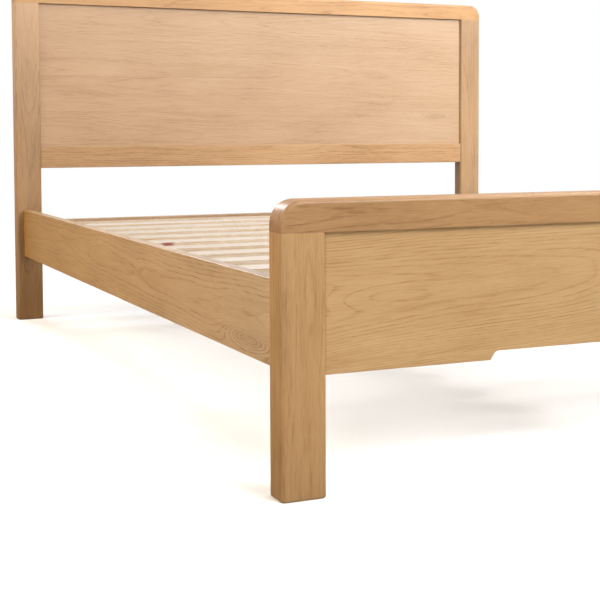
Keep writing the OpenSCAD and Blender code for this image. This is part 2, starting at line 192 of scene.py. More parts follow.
# Each soft box: its place, what it faces, its size, its watts and its colour
SOFT_BOXES = (
    ("front", (0.8, -3.6, 2.4), (0, -1, 0.3), (2.5, 1.8), 188, (1.0, 1.0, 1.0)),
    ("overhead", (0.3, 0.2, 3.2), (0.3, 0.2, 0), (4.5, 4.5), 80, (1.0, 1.0, 1.0)),
    ("right_inside", (1.5, -0.6, 1.9), (0.3, 1.0, 0.6), (1.5, 1.5), 88, (1.0, 1.0, 1.0)),
    ("left", (-3.4, 0.2, 1.7), (-0.8, -0.2, 0.3), (2.0, 2.0), 92, (1.0, 0.84, 0.59)),
    ("left_strip", (-3.1, -4.0, 0.7), (-0.8, -1.05, 0.3), (0.4, 1.2), 50, (1.0, 1.0, 1.0)),
    ("back", (-1.15, 5.0, 2.9), (-0.8, -1.05, 0.4), (1.2, 0.75), 86, (0.92, 0.95, 1.0)),
)
FLOOR_NEAR = 1.5  # the floor is plain to here, and fades into the surround beyond
FLOOR_FAR = 4.0
FLOOR_SHOWN = 0.88  # its paleness to the camera
FLOOR_BOUNCE = 0.6  # and as the bed is lit by it, so that the posts darken towards their feet


def make_studio():
    """A surround that shows white, and mirrors white above the horizon, but lights the bed less."""
    world = bpy.data.worlds.new("studio")
    s = Shader("studio", world)
    ray = s.add("ShaderNodeLightPath").outputs
    height = s.split(s.add("ShaderNodeTexCoord").outputs["Generated"])["Z"]
    mirrored = s.math("MULTIPLY", ray["Is Glossy Ray"], s.remap(height, -0.05, 0.05))
    shown = s.math("ADD", ray["Is Camera Ray"], mirrored, clamp=True)
    strength = s.remap(shown, 0, 1, SURROUND_LIGHT, 1)
    background = s.add("ShaderNodeBackground", {"Color": (1, 1, 1, 1), "Strength": strength})
    s.add("ShaderNodeOutputWorld", {"Surface": background.outputs[0]})
    bpy.context.scene.world = world
    bpy.context.scene.view_settings.view_transform = "Standard"
    for name, place, target, size, power, colour in SOFT_BOXES:
        data = bpy.data.lights.new(name, "AREA")
        data.shape = "RECTANGLE"
        data.size, data.size_y = size
        data.energy = power
        data.color = colour
        light = bpy.data.objects.new(name, data)
        light.location = place
        light.rotation_euler = (Vector(target) - Vector(place)).to_track_quat("-Z", "Y").to_euler()
        bpy.context.scene.collection.objects.link(light)


def make_floor():
    """A plain pale disc that fades out before its rim."""
    bm = bmesh.new()
    bmesh.ops.create_circle(bm, cap_ends=True, segments=96, radius=FLOOR_FAR)
    floor = object_from("floor", bm)
    s = Shader("floor_paint")
    place = s.add("ShaderNodeTexCoord").outputs["Object"]
    reach = s.add("ShaderNodeVectorMath", {0: place}, operation="LENGTH").outputs["Value"]
    seen = s.add("ShaderNodeLightPath").outputs["Is Camera Ray"]
    paleness = s.remap(seen, 0, 1, FLOOR_BOUNCE, FLOOR_SHOWN)
    inputs = {"Base Color": paleness, "Roughness": 0.9, "Specular IOR Level": 0.1}
    inputs["Alpha"] = s.remap(reach, FLOOR_NEAR, FLOOR_FAR, 1, 0, smooth=True)
    paint = s.add("ShaderNodeBsdfPrincipled", inputs)
    s.add("ShaderNodeOutputMaterial", {"Surface": paint.outputs[0]})
    floor.data.materials.append(s.material)
    floor.visible_glossy = False


# ---------------------------------------------------------------- wood

WOODS = {
    "oak_frame": {
        "dark": (0.172, 0.080, 0.028),
        "middle": (0.285, 0.152, 0.058),
        "light": (0.350, 0.200, 0.084),
        "ring": 2.6 * MM,
        "figure": 0.34,
        "pores": 0.8,
        "coat": 0.4,
        "specular": 0.05,
        "heart": (0.12, 0.058, 0.022, 1),
    },
    "oak_panel": {
        "dark": (0.232, 0.117, 0.041),
        "middle": (0.322, 0.186, 0.073),
        "light": (0.380, 0.232, 0.100),
        "ring": 2.4 * MM,
        "figure": 0.46,
        "pores": 0.7,
        "coat": 0.4,
        "specular": 0.05,
        "heart": (0.12, 0.058, 0.022, 1),
    },
    "oak_board": {
        "dark": (0.230, 0.134, 0.062),
        "middle": (0.325, 0.205, 0.112),
        "light": (0.370, 0.245, 0.142),
        "ring": 2.6 * MM,
        "figure": 0.34,
        "pores": 0.5,
        "coat": 0.4,
        "specular": 0.05,
        "heart": (0.12, 0.058, 0.022, 1),
    },
    "pine": {
        "dark": (0.40, 0.28, 0.18),
        "middle": (0.47, 0.395, 0.31),
        "light": (0.51, 0.45, 0.38),
        "ring": 4.0 * MM,
        "figure": 0.40,
        "pores": 0.0,
        "coat": 0.0,
        "specular": 0.3,
        "heart": (0.23, 0.060, 0.035, 1),
    },
    "beech": {
        "dark": (0.28, 0.16, 0.08),
        "middle": (0.38, 0.24, 0.13),
        "light": (0.43, 0.29, 0.17),
        "ring": 3.0 * MM,
        "figure": 0.15,
        "pores": 0.3,
        "coat": 0.0,
        "specular": 0.3,
        "heart": (0.12, 0.058, 0.022, 1),
    },
}
KNOT_STRETCH = 6.0  # its length along the grain, as a multiple of its width

# How fine each figure is: waves a metre along, across and into the board
WANDER = (1.8, 2, 2)
RIPPLE = (6, 18, 18)
WAVER = (35, 130, 130)
BLOTCHES = (3, 6, 6)
STRANDS = (5, 75, 75)
FIBRES = (26, 430, 430)
HAIRS = (60, 1300, 1300)
PORE_DASHES = (75, 1000, 1000)

# How far the rings are pushed about
WANDER_ACROSS = 40 * MM
WANDER_DEEP = 10 * MM
RIPPLE_REACH = 3.5 * MM
WAVER_REACH = 0.4 * MM

COAT_ROUGHNESS = 0.32
made_woods = {}


def wood(species, grain):
    """The material of one wood, with grain given as the row axes along, across and into the board."""
    key = f"{species}_{grain.lower()}"
    if key not in made_woods:
        made_woods[key] = make_wood(key, WOODS[species], grain)
    return made_woods[key]


def make_wood(name, look, grain):
    s = Shader(name)
    coordinates = s.add("ShaderNodeTexCoord").outputs
    row, normal = s.split(coordinates["Object"]), s.split(coordinates["Normal"])
    along, across, deep = (row["XYZ".index(letter)] for letter in grain)
    across = s.math("SUBTRACT", across, s.math("MULTIPLY", along, s.own("slant")))
    seed = s.own("seed")
    shifted = s.vector("ADD", s.join(along, across, deep), s.scaled((3.1, 1.7, 2.3), seed))

    # Growth rings round a pith that wanders gently along the board and leans by its tilt
    wander = s.split(s.noise(s.vector("MULTIPLY", shifted, WANDER), 1, 0.4, "Color"))
    ripple = s.noise(s.vector("MULTIPLY", shifted, RIPPLE), 1, 0.4)
    waver = s.noise(s.vector("MULTIPLY", shifted, WAVER), 2, 0.5)
    pith = s.split(s.own("pith", "Vector"))
    sideways = s.math("MULTIPLY_ADD", wander[0], WANDER_ACROSS, -WANDER_ACROSS / 2)
    side = s.total(s.math("SUBTRACT", across, pith[0]), sideways)
    down = s.math("SUBTRACT", s.math("SUBTRACT", deep, pith[1]), s.math("MULTIPLY", along, pith[2]))
    down = s.total(down, s.math("MULTIPLY_ADD", wander[1], WANDER_DEEP, -WANDER_DEEP / 2))
    radius = s.math("SQRT", s.total(s.math("MULTIPLY", side, side), s.math("MULTIPLY", down, down)))
    ripples = s.math("MULTIPLY", ripple, RIPPLE_REACH)
    radius = s.total(radius, ripples, s.math("MULTIPLY", waver, WAVER_REACH))

    # A knot pushes the rings aside into closed loops
    knot = s.split(s.own("knot", "Vector"))
    knot_length = s.math("MULTIPLY", knot[2], KNOT_STRETCH)
    knot_along = s.math("DIVIDE", s.math("SUBTRACT", along, knot[0]), knot_length)
    knot_across = s.math("DIVIDE", s.math("SUBTRACT", across, knot[1]), knot[2])
    squares = [s.math("MULTIPLY", part, part) for part in (knot_along, knot_across)]
    swell = s.math("POWER", math.e, s.math("MULTIPLY", s.total(*squares), -1))
    radius = s.total(radius, s.math("MULTIPLY", swell, s.own("swell")))

    # Early wood starts each ring sharply and dark, and fades into the late wood
    turns = s.math("DIVIDE", radius, look["ring"])
    season = s.math("FRACT", turns)
    slope = s.math("DIVIDE", s.math("ABSOLUTE", side), radius)
    fade = s.remap(slope, 0.02, 0.3, 0.2, 0.45)
    early = s.math("MULTIPLY", s.remap(season, 0.0, 0.06), s.remap(season, 0.06, fade, 1, 0, smooth=True))
    early = s.math("MULTIPLY", early, s.remap(slope, 0.02, 0.25, 0.6, 1))
    years = s.noise_along(s.math("MULTIPLY_ADD", turns, 0.31, seed), 3, 0.6)

    # Fibres: crisp short streaks, finer ones between them, and a slow change of tone
    fibre = s.noise(s.vector("MULTIPLY", shifted, FIBRES), 2, 0.6)
    hair = s.noise(s.vector("MULTIPLY", shifted, HAIRS), 2, 0.6)
    strand = s.noise(s.vector("MULTIPLY", shifted, STRANDS), 2, 0.6)
    blotch = s.noise(s.vector("MULTIPLY", shifted, BLOTCHES), 2, 0.5)
    streaks = s.remap(fibre, 0.62, 0.42, 0.65, 1.3)
    figure = s.math("MULTIPLY", s.math("MULTIPLY", early, streaks), s.remap(years, 0.35, 0.65, 0.3, 1))
    facing = s.math("ABSOLUTE", normal["XYZ".index(grain[2])])
    edge = s.remap(facing, 0.2, 0.8, 1, 0)
    strength = s.total(s.own("figure"), s.math("MULTIPLY", swell, 1.3), s.math("MULTIPLY", edge, 0.4))
    figure = s.math("MULTIPLY", figure, strength)
    value = s.total(
        0.60,
        s.math("MULTIPLY", figure, -look["figure"]),
        s.math("MULTIPLY_ADD", years, 0.34, -0.17),
        s.math("MULTIPLY_ADD", fibre, 0.6, -0.3),
        s.math("MULTIPLY_ADD", hair, 0.5, -0.25),
        s.math("MULTIPLY", s.math("ADD", strand, -0.5), s.math("MULTIPLY_ADD", edge, 0.6, 0.42)),
        s.math("MULTIPLY_ADD", blotch, 0.64, -0.32),
    )
    colour = s.ramp(value, [(0.12, look["dark"]), (0.5, look["middle"]), (0.9, look["light"])])

    # Open pores: short dark dashes, thickest in the early wood
    dash = s.noise(s.vector("MULTIPLY", shifted, PORE_DASHES), 1, 0.5)
    pores = s.math("MULTIPLY", s.remap(dash, 0.57, 0.68), s.remap(early, 0.0, 0.7, 0.3, 1))
    pores = s.math("MULTIPLY", pores, look["pores"])
    colour = s.mix(s.math("MULTIPLY", pores, 0.35), colour, (*look["dark"], 1))

    # Painted light and shade on the faces that turn across the board, the heart of the knot, and the
    # piece's tone, which goes from one end to the other: partly its own colour, partly painted shade
    edge_shading = s.mix(1.0, colour, s.own("edge_shading", "Color"), "MULTIPLY")
    colour = s.mix(edge, colour, edge_shading)
    heart = s.math("MULTIPLY", s.remap(swell, 0.45, 0.9, 0, 1, smooth=True), s.own("heart"))
    colour = s.mix(heart, colour, look["heart"])
    ends = s.split(s.own("ends", "Vector"))
    tone_and_shade_drift = s.math("DIVIDE", s.math("SUBTRACT", along, ends[0]), ends[1], clamp=True)
    tint = s.mix(tone_and_shade_drift, s.own("tint", "Color"), s.own("far_tint", "Color"))
    colour = s.mix(1.0, colour, tint, "MULTIPLY")

    # Arrises are a little smoother from wear, and paler: partly wear, partly a painted highlight
    wear_and_highlight = s.math("MULTIPLY", s.wear_and_highlight(), s.remap(blotch, 0.3, 0.7, 0.3, 1))
    colour = s.mix(s.math("MULTIPLY", wear_and_highlight, 0.35), colour, (*(1.15 * part for part in look["light"]), 1))
    roughness = s.total(
        0.42,
        s.math("MULTIPLY", fibre, 0.16),
        s.math("MULTIPLY", pores, 0.15),
        s.math("MULTIPLY", wear_and_highlight, -0.1),
    )
    height = s.total(s.math("MULTIPLY", hair, 0.5), s.math("MULTIPLY", pores, -0.8))
    coat = {"Coat_Weight": look["coat"], "Coat_Roughness": COAT_ROUGHNESS}
    return s.finish(colour, roughness, height, 0.2 * MM, 0.4, Specular_IOR_Level=look["specular"], **coat)


# ---------------------------------------------------------------- metal and plastic


def make_zinc():
    s = Shader("zinc_steel")
    place = s.add("ShaderNodeTexCoord").outputs["Object"]
    cloud = s.noise(s.scaled(place, 90), 3, 0.6)
    grain = s.noise(s.scaled(place, 1800), 2, 0.5)
    colour = s.ramp(cloud, [(0.3, (0.42, 0.43, 0.45)), (0.7, (0.62, 0.63, 0.65))])
    roughness = s.total(0.22, s.math("MULTIPLY", cloud, 0.2), s.math("MULTIPLY", grain, 0.08))
    return s.finish(colour, roughness, grain, 0.05 * MM, 0.4, Metallic=1.0)


def make_plastic():
    s = Shader("glide_plastic")
    place = s.add("ShaderNodeTexCoord").outputs["Object"]
    stipple = s.noise(s.scaled(place, 1400), 2, 0.6)
    dust = s.noise(s.scaled(place, 60), 3, 0.6)
    colour = s.ramp(dust, [(0.35, (0.016, 0.016, 0.017)), (0.75, (0.035, 0.034, 0.033))])
    roughness = s.remap(stipple, 0.3, 0.7, 0.42, 0.6)
    return s.finish(colour, roughness, stipple, 0.1 * MM, 0.5, Specular_IOR_Level=0.45)


# ---------------------------------------------------------------- mesh tools

SHARP = math.radians(40)
TINY = 0.001 * MM  # points closer than this are one


def object_from(name, bm):
    mesh = bpy.data.meshes.new(name)
    bm.to_mesh(mesh)
    bm.free()
    made = bpy.data.objects.new(name, mesh)
    bpy.context.scene.collection.objects.link(made)
    return made


def joined_copy(node):
    """A CAD node's mesh with its doubled points joined, as closed solids."""
    bm = bmesh.new()
    bm.from_mesh(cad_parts[node].data)
    bmesh.ops.remove_doubles(bm, verts=bm.verts, dist=TINY)
    return bm


def combine(bm, operation, *others):
    """The solid in bm after INTERSECT, DIFFERENCE or UNION with each of the others, which it uses up."""
    for other in others:
        first, second = object_from("first", bm), object_from("second", other)
        step = first.modifiers.new("step", "BOOLEAN")
        step.operation, step.object, step.solver = operation, second, "EXACT"
        graph = bpy.context.evaluated_depsgraph_get()
        mesh = bpy.data.meshes.new_from_object(first.evaluated_get(graph), depsgraph=graph)
        bm = bmesh.new()
        bm.from_mesh(mesh)
        bpy.data.meshes.remove(mesh)
        for used in (first, second):
            data = used.data
            bpy.data.objects.remove(used)
            bpy.data.meshes.remove(data)
    return bm


def box_mesh(low, high):
    bm = bmesh.new()
    bmesh.ops.create_cube(bm, size=1)
    middle, size = (low + high) / 2, high - low
    for vert in bm.verts:
        vert.co = middle + vert.co * size
    return bm


def bevel(bm, edges, radius, segments=3):
    bmesh.ops.bevel(bm, geom=edges, offset=radius, segments=segments, profile=0.5, affect="EDGES")


def mark_wear_and_highlight(bm, low, high, radius):
    """Writes how far each point lies on a rounded arris of the box, for its wear and painted highlight: 0
    on a face, 1 mid-way round.
    """
    layer = bm.verts.layers.float.get("wear_and_highlight") or bm.verts.layers.float.new("wear_and_highlight")
    for vert in bm.verts:
        gaps = [min(vert.co[i] - low[i], high[i] - vert.co[i]) for i in range(3)]
        near = sorted(max(0.0, 1 - gap / radius) for gap in gaps)
        vert[layer] = min(1.0, 1.4 * near[1])


def add_piece(name, bm, *nodes):
    """The finished mesh as a piece that rides on the bed and stands for its CAD nodes."""
    bmesh.ops.dissolve_degenerate(bm, dist=TINY, edges=bm.edges)
    piece = object_from(name, bm)
    piece.data.shade_smooth()
    piece.data.set_sharp_from_angle(angle=SHARP)
    normals = piece.modifiers.new("even_shading", "WEIGHTED_NORMAL")
    normals.keep_sharp = True
    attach(piece, BODY)
    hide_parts(*nodes)
    return piece


# ---------------------------------------------------------------- timber


def timber(node, radius, low=None, high=None, past=(0, 0, 0)):
    """A CAD timber with eased arrises. low and high are its body without tenons and tongues, and
    past says how far the easing's ends run beyond the body, so that butted ends stay square."""
    node_low, node_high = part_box(node)
    low, high, past = low or node_low, high or node_high, Vector(past)
    blank = box_mesh(low - past, high + past)
    bevel(blank, list(blank.edges), radius)
    piece = combine(blank, "INTERSECT", joined_copy(node))
    if (node_low - low).length + (node_high - high).length > TINY:
        joints = combine(joined_copy(node), "DIFFERENCE", box_mesh(low, high))
        piece = combine(piece, "UNION", joints)
    mark_wear_and_highlight(piece, low - past, high + past, radius)
    return add_piece(node + "_timber", piece, node)


def rounded_rectangle(low, high, radius, inset=0.0, steps=10):
    """Points round a rectangle with round corners, moved inwards by inset."""
    points = []
    corners = ((high[0], high[1], 0), (low[0], high[1], 90), (low[0], low[1], 180), (high[0], low[1], 270))
    for x, y, start in corners:
        centre_x = x - math.copysign(radius, x - (low[0] + high[0]) / 2)
        centre_y = y - math.copysign(radius, y - (low[1] + high[1]) / 2)
        for step in range(steps + 1):
            angle = math.radians(start + 90 * step / steps)
            reach = radius - inset
            points.append((centre_x + reach * math.cos(angle), centre_y + reach * math.sin(angle)))
    return points


def loft(rings):
    """A closed solid through rings of points, with flat faces on the first and the last."""
    bm = bmesh.new()
    rows = [[bm.verts.new(point) for point in ring] for ring in rings]
    count = len(rows[0])
    for lower, upper in zip(rows, rows[1:]):
        for i in range(count):
            j = (i + 1) % count
            bm.faces.new((lower[i], lower[j], upper[j], upper[i]))
    bm.faces.new(list(reversed(rows[0])))
    bm.faces.new(rows[-1])
    bmesh.ops.recalc_face_normals(bm, faces=bm.faces)
    return bm


def quarter_turn(radius, steps):
    """(inset, advance) pairs from a flat face round a quarter circle to the side."""
    turns = [math.radians(90 * step / steps) for step in range(steps + 1)]
    return [(radius * (1 - math.sin(turn)), radius * (1 - math.cos(turn))) for turn in turns]


POST_ROUND = 7 * MM
FOOT_EASE = 4 * MM
JOINT_EASE = 0.5 * MM


def post(node, *joined):
    """A post with rounded long edges and a softened foot, cut for the pieces that are joined to it."""
    low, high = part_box(node)
    levels = [(low.z + advance, inset) for inset, advance in quarter_turn(FOOT_EASE, 4)]
    levels += [(high.z - JOINT_EASE, 0.0), (high.z, JOINT_EASE)]
    rings = []
    for z, inset in levels:
        rings.append([(x, y, z) for x, y in rounded_rectangle(low, high, POST_ROUND, inset)])
    piece = combine(loft(rings), "DIFFERENCE", *(joined_copy(other) for other in joined))
    mark_wear_and_highlight(piece, low, high, POST_ROUND)
    return add_piece(node + "_timber", piece, node)


def stations(low_y, high_y, radius, steps):
    """(y, inset) pairs across a board's thickness, with both its arrises turned by radius."""
    turns = quarter_turn(radius, steps)
    front = [(low_y + advance, inset) for inset, advance in turns]
    return front + [(high_y - advance, inset) for inset, advance in reversed(turns)]


def mark_turned_edges(bm, low_y, high_y, radius, top=math.inf):
    """Wear and painted highlight round the arrises of a lofted piece, by how deep each point lies from its
    faces.
    """
    layer = bm.verts.layers.float.new("wear_and_highlight")
    for vert in bm.verts:
        depth = min(vert.co.y - low_y, high_y - vert.co.y) / radius
        if depth < 1 and vert.co.z < top:
            vert[layer] = math.sin(2 * math.acos(max(0.0, 1 - depth)))


SHOULDER = 38 * MM


def shoulder_outline(low, high, inset, y, steps=12):
    """A cap rail's outline across the bed, with round shoulders and a flat underside."""
    points = [(high.x - inset - JOINT_EASE, y, low.z), (high.x - inset, y, low.z + JOINT_EASE)]
    for side, start in ((1, 0), (-1, 90)):
        for step in range(steps + 1):
            angle = math.radians(start + 90 * step / steps)
            reach = SHOULDER - inset
            x = side * (high.x - SHOULDER) + reach * math.cos(angle)
            points.append((x, y, high.z - SHOULDER + reach * math.sin(angle)))
    points += [(low.x + inset, y, low.z + JOINT_EASE), (low.x + inset + JOINT_EASE, y, low.z)]
    return points


def cap_rail(node, *joined):
    """A cap rail with round shoulders and arrises, cut for the pieces that are joined to it."""
    low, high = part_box(node)
    across = stations(low.y, high.y, POST_ROUND, 8)
    blank = loft([shoulder_outline(low, high, inset, y) for y, inset in across])
    mark_turned_edges(blank, low.y, high.y, POST_ROUND)
    piece = combine(blank, "DIFFERENCE", *(joined_copy(other) for other in joined))
    return add_piece(node + "_timber", piece, node)


PANEL_EASE = 1.5 * MM
STEP_START = 371 * MM  # from the post's outer face to the step in the panel's lower edge
STEP_RISE = 14.5 * MM
STEP_RUN = 10 * MM
STEP_LOW_ROUND = 3 * MM
STEP_HIGH_ROUND = 11 * MM


def arc(x, z, radius, start, end, steps=6):
    """Points round (x, z), with its angles in radians."""
    turns = [start + (end - start) * step / steps for step in range(steps + 1)]
    return [(x + radius * math.cos(turn), z + radius * math.sin(turn)) for turn in turns]


def panel_outline(inset, y):
    """The foot panel's outline, with its lower edge moved in by inset and stepped up in the middle."""
    low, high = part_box("foot_panel")
    cap_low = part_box("foot_cap_rail")[0].z
    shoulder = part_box("foot_post_right")[0].x
    slope = math.atan2(STEP_RISE, STEP_RUN)
    x_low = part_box("foot_post_right")[1].x - STEP_START
    x_high = x_low - STEP_RUN
    z_high = low.z + STEP_RISE
    quarter, lean = math.pi / 2, math.tan(slope / 2)
    hollow_x, corner_x = x_high - STEP_HIGH_ROUND * lean, x_low + STEP_LOW_ROUND * lean
    half = arc(hollow_x, z_high - STEP_HIGH_ROUND, STEP_HIGH_ROUND + inset, quarter, quarter - slope)
    half += arc(corner_x, low.z + STEP_LOW_ROUND, STEP_LOW_ROUND - inset, 3 * quarter - slope, 3 * quarter)
    half += [(high.x, low.z + inset), (high.x, cap_low), (shoulder, cap_low), (shoulder, high.z)]
    return [(x, y, z) for x, z in half] + [(-x, y, z) for x, z in reversed(half)]


def foot_panel():
    """The footboard's panel, with eased arrises along its lower edge."""
    low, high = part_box("foot_panel")
    across = stations(low.y, high.y, PANEL_EASE, 4)
    blank = loft([panel_outline(inset, y) for y, inset in across])
    mark_turned_edges(blank, low.y, high.y, PANEL_EASE, low.z + STEP_RISE + PANEL_EASE)
    piece = combine(blank, "DIFFERENCE", joined_copy("bracket_screws"))
    return add_piece("foot_panel_timber", piece, "foot_panel")


# ---------------------------------------------------------------- fastenings


def solids(node):
    """The lowest and highest corner of each separate solid in a CAD group."""
    bm = joined_copy(node)
    left, boxes = set(bm.verts), []
    while left:
        group, edge = [], [left.pop()]
        while edge:
            vert = edge.pop()
            group.append(vert.co.copy())
            near = {link.other_vert(vert) for link in vert.link_edges} & left
            left -= near
            edge.extend(near)
        corners = [Vector(pick(co[i] for co in group) for i in range(3)) for pick in (min, max)]
        boxes.append(corners)
    bm.free()
    return sorted(boxes, key=lambda pair: tuple(round(value, 5) for value in pair[0]))


def lathe(profile, steps=24):
    """A closed solid turned round Z from (radius, height) points, from one end of the axis to the other."""
    bm = bmesh.new()
    points = [bm.verts.new((radius, 0, z)) for radius, z in profile]
    edges = [bm.edges.new(pair) for pair in zip(points, points[1:])]
    bmesh.ops.spin(
        bm, geom=points + edges, axis=(0, 0, 1), cent=(0, 0, 0), angle=math.tau, steps=steps, use_merge=True
    )
    bmesh.ops.remove_doubles(bm, verts=bm.verts, dist=TINY)
    bmesh.ops.recalc_face_normals(bm, faces=bm.faces)
    return bm


def thread(low, high, radius, pitch):
    """Profile points of a thread's crests and roots, from low to high."""
    depth = 0.6 * pitch
    count = int((high - low) / pitch)
    points = []
    for turn in range(count):
        z = low + turn * pitch
        points += [(radius - depth, z), (radius, z + pitch / 2)]
    return points + [(radius - depth, low + count * pitch)]


def drive_recess(top):
    """Cutter for the cross in a screw's head, whose face is at z = top."""
    wide, narrow = (4.4 * MM, 0.9 * MM), (1.4 * MM, 0.6 * MM)
    over, depth = 0.2 * MM, 1.8 * MM
    cutters = []
    for turned in (False, True):
        rings = []
        for (length, width), z in ((narrow, top - depth), (wide, top + over)):
            corners = ((-1, -1), (1, -1), (1, 1), (-1, 1))
            flat = [(a * length / 2, b * width / 2) for a, b in corners]
            rings.append([(y, x, z) if turned else (x, y, z) for x, y in flat])
        cutters.append(loft(rings))
    return cutters


def copies(pattern, places):
    """One mesh that holds a copy of the pattern at each matrix."""
    made = bmesh.new()
    mesh = bpy.data.meshes.new("pattern")
    pattern.to_mesh(mesh)
    for place in places:
        start = len(made.verts)
        made.from_mesh(mesh)
        made.verts.ensure_lookup_table()
        bmesh.ops.transform(made, matrix=place, verts=made.verts[start:])
    pattern.free()
    bpy.data.meshes.remove(mesh)
    return made


def pointing(direction, place, turn=0.0):
    """A matrix that sets local +Z along direction, at a place."""
    towards = Vector(direction).to_track_quat("Z", "Y").to_matrix().to_4x4()
    return Matrix.Translation(place) @ towards @ Matrix.Rotation(turn, 4, "Z")


SCREW_R = 2 * MM
SCREW_PITCH = 1.8 * MM
SCREW_TIP = 4 * MM
GOLDEN_TURN = 2.4  # radians from one screw's cross to the next


def wood_screw(length, head):
    """A wood screw hanging from z = 0: a point, a threaded part, a plain shank, and the head's profile."""
    shank = -0.4 * length
    profile = [(0, -length), *thread(SCREW_TIP - length, shank, SCREW_R, SCREW_PITCH), (SCREW_R, shank)]
    return combine(lathe(profile + head), "DIFFERENCE", *drive_recess(head[-1][1]))


def countersunk_screws(node, inward):
    """Countersunk screws in a group, whose heads face the way that inward(place) gives."""
    head = [(SCREW_R, -SCREW_R), (2 * SCREW_R, -0.15 * MM), (2 * SCREW_R - 0.15 * MM, 0), (0, 0)]
    places = []
    for index, (low, high) in enumerate(solids(node)):
        middle, half = (low + high) / 2, (high - low) / 2
        facing = Vector(inward(middle))
        top = middle + Vector(facing[i] * half[i] for i in range(3))
        places.append(pointing(facing, top, index * GOLDEN_TURN))
    low, high = solids(node)[0]
    screw = wood_screw(max(high - low), head)
    return add_piece(node + "_steel", copies(screw, places), node)


def bracket_screws():
    """Pan-headed screws, driven along the way in which each is longest, with its head in the open."""
    dome = [(0, 0), (0.55, 0.9), (0.85, 0.6), (1, 0.25)]
    head_r, head_h = 4 * MM, 2.5 * MM
    head = [(head_r, 0)] + [(head_r * share, head_h * rise) for share, rise in reversed(dome[1:])]
    head.append((0, head_h))
    places, length = [], 0
    for index, (low, high) in enumerate(solids("bracket_screws")):
        size, middle = high - low, (low + high) / 2
        axis = max(range(3), key=lambda i: size[i])
        sign = (1 if middle.x > 0 else -1) if axis == 0 else (1 if middle.y < 0 else -1)
        facing = Vector((sign, 0, 0) if axis == 0 else (0, sign, 0))
        length = size[axis] - head_h
        seat = middle + facing * (size[axis] / 2 - head_h)
        places.append(pointing(facing, seat, index * GOLDEN_TURN))
    return add_piece("bracket_screws_steel", copies(wood_screw(length, head), places), "bracket_screws")


def lying_along_y(boxes):
    """Matrices that set local +Z along +Y, from the near end of each box."""
    places = []
    for low, high in boxes:
        places.append(pointing((0, 1, 0), ((low.x + high.x) / 2, low.y, (low.z + high.z) / 2)))
    return places


def rail_studs():
    """Threaded studs with chamfered ends."""
    boxes = solids("rail_studs")
    low, high = boxes[0]
    radius, pitch, chamfer = (high.x - low.x) / 2, 1.25 * MM, 1 * MM
    length = high.y - low.y
    profile = [(0, 0), (radius - chamfer, 0), *thread(chamfer, length - chamfer, radius, pitch)]
    profile += [(radius - chamfer, length), (0, length)]
    studs = copies(lathe(profile, 20), lying_along_y(boxes))
    return add_piece("rail_studs_steel", studs, "rail_studs")


def rail_nuts():
    """Hexagon nuts, with their corners turned off at both faces."""
    boxes = solids("rail_nuts")
    low, high = boxes[0]
    height, across = high.y - low.y, min(high.x - low.x, high.z - low.z)
    stud_low, stud_high = solids("rail_studs")[0]
    bore_r = (stud_high.x - stud_low.x) / 2
    corner = across / math.sqrt(3)
    face_r = 0.96 * across / 2  # the flat face inside the turned-off corners
    turned_off, lead = 0.9 * MM, 0.6 * MM
    first_turn = 0.0 if high.x - low.x > high.z - low.z else math.radians(30)
    sides = [first_turn + math.radians(60 * side) for side in range(6)]
    rings = [[(corner * math.cos(a), corner * math.sin(a), z) for a in sides] for z in (0, height)]
    clear = 1.02 * corner
    barrel = [(0, 0), (face_r, 0), (clear, turned_off), (clear, height - turned_off)]
    barrel += [(face_r, height), (0, height)]
    hole = [(0, -lead), (bore_r + 2 * lead, -lead), (bore_r, lead), (bore_r, height - lead)]
    hole += [(bore_r + 2 * lead, height + lead), (0, height + lead)]
    nut = combine(combine(loft(rings), "INTERSECT", lathe(barrel, 48)), "DIFFERENCE", lathe(hole, 32))
    return add_piece("rail_nuts_steel", copies(nut, lying_along_y(boxes)), "rail_nuts")


def softened(node, width, segments=2):
    """A CAD node that keeps its own mesh, with its edges broken by modifiers."""
    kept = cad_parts[node]
    kept.modifiers.new("joined", "WELD").merge_threshold = 0.002 * MM
    edges = kept.modifiers.new("broken_edges", "BEVEL")
    edges.width, edges.segments = width, segments
    edges.limit_method, edges.angle_limit = "ANGLE", SHARP
    edges.use_clamp_overlap = False
    kept.modifiers.new("even_shading", "WEIGHTED_NORMAL")
    return kept


# ---------------------------------------------------------------- pieces

# Each knot: where it lies along and across its board, its half width, how far it pushes the rings
# aside, and how dark its heart is
NO_KNOT = (9.0, 9.0, 0.02, 0.0, 0.0)
PANEL_EYE = (-0.62, 0.306, 0.018, 0.006, 0.0)
RAIL_KNOT = (-0.875, 0.222, 0.019, 0.022, 0.1)
BOARD_KNOT = (0.635, 0.614, 0.011, 0.012, 0.2)
SLAT_KNOT = (-0.594, 0.186, 0.0046, 0.006, 0.95)

# The tones of each board, as they multiply its wood's colours: tint where its grain starts, far_tint where
# it ends, and a tone on its edges. They are partly the board's own colour and partly painted light and
# shade: the change from tint to far_tint paints shade falling off along a piece, and the edge tone paints
# tops and sides lighter or darker as the light falls on them
PLAIN = (1, 1, 1)
# Painted shade darkens the foot posts towards their feet, and painted light and shade gives their side
# faces a deeper golden tone
FOOT_POST_TONES = {"tint": (0.82, 0.86, 0.88), "far_tint": (1.06, 1.16, 1.3), "edge_shading": (1.0, 0.93, 0.74)}
# Painted shade: the cap rails' tops and ends a little darker and browner than their fronts
CAP_EDGE_SHADE = (1.0, 0.94, 0.84)
FOOT_CAP_TONES = {"tint": (0.91, 0.935, 1.02), "far_tint": (0.75, 0.755, 0.735), "edge_shading": CAP_EDGE_SHADE}
PANEL_TONES = {"tint": (0.98, 1.02, 1.12), "far_tint": (0.80, 0.85, 0.92)}
